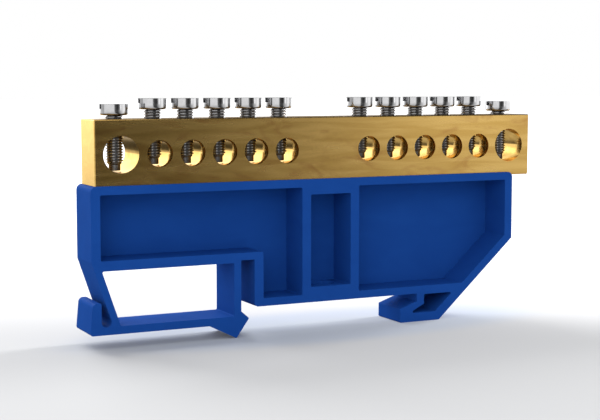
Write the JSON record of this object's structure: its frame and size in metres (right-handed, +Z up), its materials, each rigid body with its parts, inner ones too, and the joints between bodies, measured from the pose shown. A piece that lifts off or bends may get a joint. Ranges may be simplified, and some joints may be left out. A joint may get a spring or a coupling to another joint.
{
  "type": "neutral busbar",
  "caption": "Brass neutral bar with cross holes and slotted clamp screws, on a moulded carrier that snaps onto a 35 mm rail.",
  "frame": {"origin": "middle of the mounting rail's top face, at half the carrier's depth", "axes": "+X along the bar towards the hook, +Y to the rear along the rail, +Z up from the rail"},
  "size_m": [0.0877, 0.0082, 0.0416],
  "materials": {
    "blue_moulding": "satin moulded, fine grain",
    "brass": "drawn bar, dull brushed faces and bright bores",
    "plated_steel": "bright zinc plate"
  },
  "bodies": {
    "terminal_block": {"carrier": "blue_moulding", "busbar": "brass", "fixing_screw": "plated_steel"},
    "clamp_screw_01": {"clamp_screw_01": "plated_steel"},
    "clamp_screw_02": {"clamp_screw_02": "plated_steel"},
    "clamp_screw_03": {"clamp_screw_03": "plated_steel"},
    "clamp_screw_04": {"clamp_screw_04": "plated_steel"},
    "clamp_screw_05": {"clamp_screw_05": "plated_steel"},
    "clamp_screw_06": {"clamp_screw_06": "plated_steel"},
    "clamp_screw_07": {"clamp_screw_07": "plated_steel"},
    "clamp_screw_08": {"clamp_screw_08": "plated_steel"},
    "clamp_screw_09": {"clamp_screw_09": "plated_steel"},
    "clamp_screw_10": {"clamp_screw_10": "plated_steel"},
    "clamp_screw_11": {"clamp_screw_11": "plated_steel"},
    "clamp_screw_12": {"clamp_screw_12": "plated_steel"}
  },
  "joints": [
    {"name": "clamp_screw_01_travel", "type": "slide", "parent": "terminal_block", "child": "clamp_screw_01", "axis": [0, 0, 1], "range_m": [0, 0.006]},
    {"name": "clamp_screw_02_travel", "type": "slide", "parent": "terminal_block", "child": "clamp_screw_02", "axis": [0, 0, 1], "range_m": [0, 0.0042]},
    {"name": "clamp_screw_03_travel", "type": "slide", "parent": "terminal_block", "child": "clamp_screw_03", "axis": [0, 0, 1], "range_m": [0, 0.0042]},
    {"name": "clamp_screw_04_travel", "type": "slide", "parent": "terminal_block", "child": "clamp_screw_04", "axis": [0, 0, 1], "range_m": [0, 0.0042]},
    {"name": "clamp_screw_05_travel", "type": "slide", "parent": "terminal_block", "child": "clamp_screw_05", "axis": [0, 0, 1], "range_m": [0, 0.0042]},
    {"name": "clamp_screw_06_travel", "type": "slide", "parent": "terminal_block", "child": "clamp_screw_06", "axis": [0, 0, 1], "range_m": [0, 0.0042]},
    {"name": "clamp_screw_07_travel", "type": "slide", "parent": "terminal_block", "child": "clamp_screw_07", "axis": [0, 0, 1], "range_m": [0, 0.0042]},
    {"name": "clamp_screw_08_travel", "type": "slide", "parent": "terminal_block", "child": "clamp_screw_08", "axis": [0, 0, 1], "range_m": [0, 0.0042]},
    {"name": "clamp_screw_09_travel", "type": "slide", "parent": "terminal_block", "child": "clamp_screw_09", "axis": [0, 0, 1], "range_m": [0, 0.0042]},
    {"name": "clamp_screw_10_travel", "type": "slide", "parent": "terminal_block", "child": "clamp_screw_10", "axis": [0, 0, 1], "range_m": [0, 0.0042]},
    {"name": "clamp_screw_11_travel", "type": "slide", "parent": "terminal_block", "child": "clamp_screw_11", "axis": [0, 0, 1], "range_m": [0, 0.0042]},
    {"name": "clamp_screw_12_travel", "type": "slide", "parent": "terminal_block", "child": "clamp_screw_12", "axis": [0, 0, 1], "range_m": [0, 0.006]}
  ]
}
